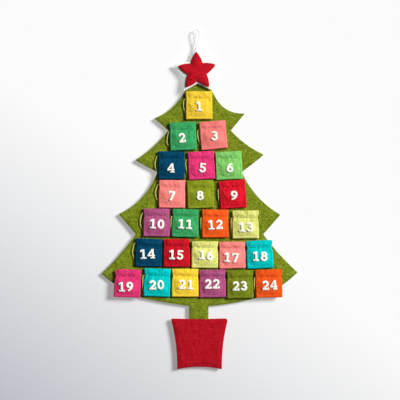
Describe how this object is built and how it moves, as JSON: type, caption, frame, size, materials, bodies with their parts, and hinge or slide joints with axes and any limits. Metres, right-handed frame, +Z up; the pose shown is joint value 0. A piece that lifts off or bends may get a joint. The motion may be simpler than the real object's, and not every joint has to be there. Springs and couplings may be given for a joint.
{
  "type": "felt advent calendar",
  "caption": "Felt tree wall calendar with a stuffed star, a padded pot, a hanging loop and numbered drawstring pouches that lift on thread tacks.",
  "frame": {"origin": "inside top of the hanging loop, where a hook carries it", "axes": "+Z up, +Y into the wall, the front with the pouches looks to -Y"},
  "size_m": [0.5496, 0.0227, 0.9528],
  "materials": {
    "yellow_felt": "matt wool felt",
    "green_felt": "matt wool felt",
    "coral_felt": "matt wool felt",
    "navy_felt": "matt wool felt",
    "magenta_felt": "matt wool felt",
    "leaf_felt": "matt wool felt",
    "olive_felt": "matt wool felt",
    "red_felt": "matt wool felt",
    "plum_felt": "matt wool felt",
    "orange_felt": "matt wool felt",
    "lime_felt": "matt wool felt",
    "turquoise_felt": "matt wool felt",
    "cream_felt": "matt wool felt",
    "tree_felt": "matt wool felt",
    "wadding": "loose white fibre",
    "drawstring_cord": "twisted cotton cord",
    "loop_cord": "twisted cotton cord",
    "tack_thread": "sewing thread"
  },
  "bodies": {
    "tree": {"tree_front": "tree_felt", "tree_interlining": "wadding", "tree_back": "tree_felt", "star_front": "red_felt", "star_wadding": "wadding", "star_backing": "cream_felt", "pot_front": "red_felt", "pot_wadding": "wadding", "pot_back": "red_felt", "hanging_loop": "loop_cord", "pouch_tacks": "tack_thread"},
    "pouch_01": {"pouch_01": "yellow_felt", "drawstring_01": "drawstring_cord"},
    "pouch_02": {"pouch_02": "green_felt", "drawstring_02": "drawstring_cord"},
    "pouch_03": {"pouch_03": "coral_felt", "drawstring_03": "drawstring_cord"},
    "pouch_04": {"pouch_04": "navy_felt", "drawstring_04": "drawstring_cord"},
    "pouch_05": {"pouch_05": "magenta_felt", "drawstring_05": "drawstring_cord"},
    "pouch_06": {"pouch_06": "leaf_felt"},
    "pouch_07": {"pouch_07": "coral_felt", "drawstring_07": "drawstring_cord"},
    "pouch_08": {"pouch_08": "olive_felt"},
    "pouch_09": {"pouch_09": "red_felt", "drawstring_09": "drawstring_cord"},
    "pouch_10": {"pouch_10": "plum_felt", "drawstring_10": "drawstring_cord"},
    "pouch_11": {"pouch_11": "green_felt", "drawstring_11": "drawstring_cord"},
    "pouch_12": {"pouch_12": "orange_felt", "drawstring_12": "drawstring_cord"},
    "pouch_13": {"pouch_13": "lime_felt", "drawstring_13": "drawstring_cord"},
    "pouch_14": {"pouch_14": "navy_felt", "drawstring_14": "drawstring_cord"},
    "pouch_15": {"pouch_15": "red_felt"},
    "pouch_16": {"pouch_16": "lime_felt", "drawstring_16": "drawstring_cord"},
    "pouch_17": {"pouch_17": "coral_felt"},
    "pouch_18": {"pouch_18": "turquoise_felt"},
    "pouch_19": {"pouch_19": "magenta_felt"},
    "pouch_20": {"pouch_20": "turquoise_felt", "drawstring_20": "drawstring_cord"},
    "pouch_21": {"pouch_21": "yellow_felt"},
    "pouch_22": {"pouch_22": "plum_felt"},
    "pouch_23": {"pouch_23": "olive_felt", "drawstring_23": "drawstring_cord"},
    "pouch_24": {"pouch_24": "orange_felt", "drawstring_24": "drawstring_cord"}
  },
  "joints": [
    {"name": "pouch_01_lift", "type": "hinge", "parent": "tree", "child": "pouch_01", "pos_m": [0.00667, -0.003, -0.17452], "axis": [-1, 0, -0.0087], "range_deg": [0, 20]},
    {"name": "pouch_02_lift", "type": "hinge", "parent": "tree", "child": "pouch_02", "pos_m": [-0.03954, -0.003, -0.26085], "axis": [-0.999, 0, -0.0436], "range_deg": [0, 20]},
    {"name": "pouch_03_lift", "type": "hinge", "parent": "tree", "child": "pouch_03", "pos_m": [0.04363, -0.003, -0.25796], "axis": [-0.9962, 0, -0.0872], "range_deg": [0, 20]},
    {"name": "pouch_04_lift", "type": "hinge", "parent": "tree", "child": "pouch_04", "pos_m": [-0.0703, -0.003, -0.34201], "axis": [-1, 0, 0], "range_deg": [0, 10]},
    {"name": "pouch_05_lift", "type": "hinge", "parent": "tree", "child": "pouch_05", "pos_m": [0.01154, -0.003, -0.34257], "axis": [-0.9986, 0, -0.0523], "range_deg": [0, 20]},
    {"name": "pouch_06_lift", "type": "hinge", "parent": "tree", "child": "pouch_06", "pos_m": [0.08834, -0.003, -0.34257], "axis": [-0.9986, 0, -0.0523], "range_deg": [0, 20]},
    {"name": "pouch_07_lift", "type": "hinge", "parent": "tree", "child": "pouch_07", "pos_m": [-0.06837, -0.003, -0.42222], "axis": [-1, 0, 0.0087], "range_deg": [0, 10]},
    {"name": "pouch_08_lift", "type": "hinge", "parent": "tree", "child": "pouch_08", "pos_m": [0.00936, -0.003, -0.42285], "axis": [-0.999, 0, -0.0436], "range_deg": [0, 10]},
    {"name": "pouch_09_lift", "type": "hinge", "parent": "tree", "child": "pouch_09", "pos_m": [0.09838, -0.003, -0.4229], "axis": [-0.9976, 0, -0.0698], "range_deg": [0, 10]},
    {"name": "pouch_10_lift", "type": "hinge", "parent": "tree", "child": "pouch_10", "pos_m": [-0.11152, -0.003, -0.50201], "axis": [-1, 0, 0.0087], "range_deg": [0, 10]},
    {"name": "pouch_11_lift", "type": "hinge", "parent": "tree", "child": "pouch_11", "pos_m": [-0.03047, -0.003, -0.50343], "axis": [-0.9997, 0, 0.0262], "range_deg": [0, 10]},
    {"name": "pouch_12_lift", "type": "hinge", "parent": "tree", "child": "pouch_12", "pos_m": [0.05205, -0.003, -0.50501], "axis": [-1, 0, 0], "range_deg": [0, 10]},
    {"name": "pouch_13_lift", "type": "hinge", "parent": "tree", "child": "pouch_13", "pos_m": [0.13642, -0.003, -0.50731], "axis": [-1, 0, -0.0087], "range_deg": [0, 20]},
    {"name": "pouch_14_lift", "type": "hinge", "parent": "tree", "child": "pouch_14", "pos_m": [-0.13252, -0.003, -0.58603], "axis": [-0.9997, 0, 0.0262], "range_deg": [0, 20]},
    {"name": "pouch_15_lift", "type": "hinge", "parent": "tree", "child": "pouch_15", "pos_m": [-0.05613, -0.003, -0.58681], "axis": [-1, 0, -0.0087], "range_deg": [0, 20]},
    {"name": "pouch_16_lift", "type": "hinge", "parent": "tree", "child": "pouch_16", "pos_m": [0.02333, -0.003, -0.58981], "axis": [-1, 0, 0.0087], "range_deg": [0, 20]},
    {"name": "pouch_17_lift", "type": "hinge", "parent": "tree", "child": "pouch_17", "pos_m": [0.09915, -0.003, -0.59122], "axis": [-0.9998, 0, -0.0175], "range_deg": [0, 20]},
    {"name": "pouch_18_lift", "type": "hinge", "parent": "tree", "child": "pouch_18", "pos_m": [0.17506, -0.003, -0.59085], "axis": [-0.999, 0, -0.0436], "range_deg": [0, 20]},
    {"name": "pouch_19_lift", "type": "hinge", "parent": "tree", "child": "pouch_19", "pos_m": [-0.19136, -0.003, -0.67165], "axis": [-0.999, 0, 0.0436], "range_deg": [0, 20]},
    {"name": "pouch_20_lift", "type": "hinge", "parent": "tree", "child": "pouch_20", "pos_m": [-0.1089, -0.003, -0.66944], "axis": [-0.9992, 0, 0.0401], "range_deg": [0, 20]},
    {"name": "pouch_21_lift", "type": "hinge", "parent": "tree", "child": "pouch_21", "pos_m": [-0.032, -0.003, -0.67011], "axis": [-1, 0, 0], "range_deg": [0, 10]},
    {"name": "pouch_22_lift", "type": "hinge", "parent": "tree", "child": "pouch_22", "pos_m": [0.04375, -0.003, -0.67192], "axis": [-0.9998, 0, -0.0175], "range_deg": [0, 10]},
    {"name": "pouch_23_lift", "type": "hinge", "parent": "tree", "child": "pouch_23", "pos_m": [0.12095, -0.003, -0.67492], "axis": [-0.9998, 0, -0.0175], "range_deg": [0, 20]},
    {"name": "pouch_24_lift", "type": "hinge", "parent": "tree", "child": "pouch_24", "pos_m": [0.20069, -0.003, -0.67244], "axis": [-0.9994, 0, -0.0349], "range_deg": [0, 20]}
  ]
}
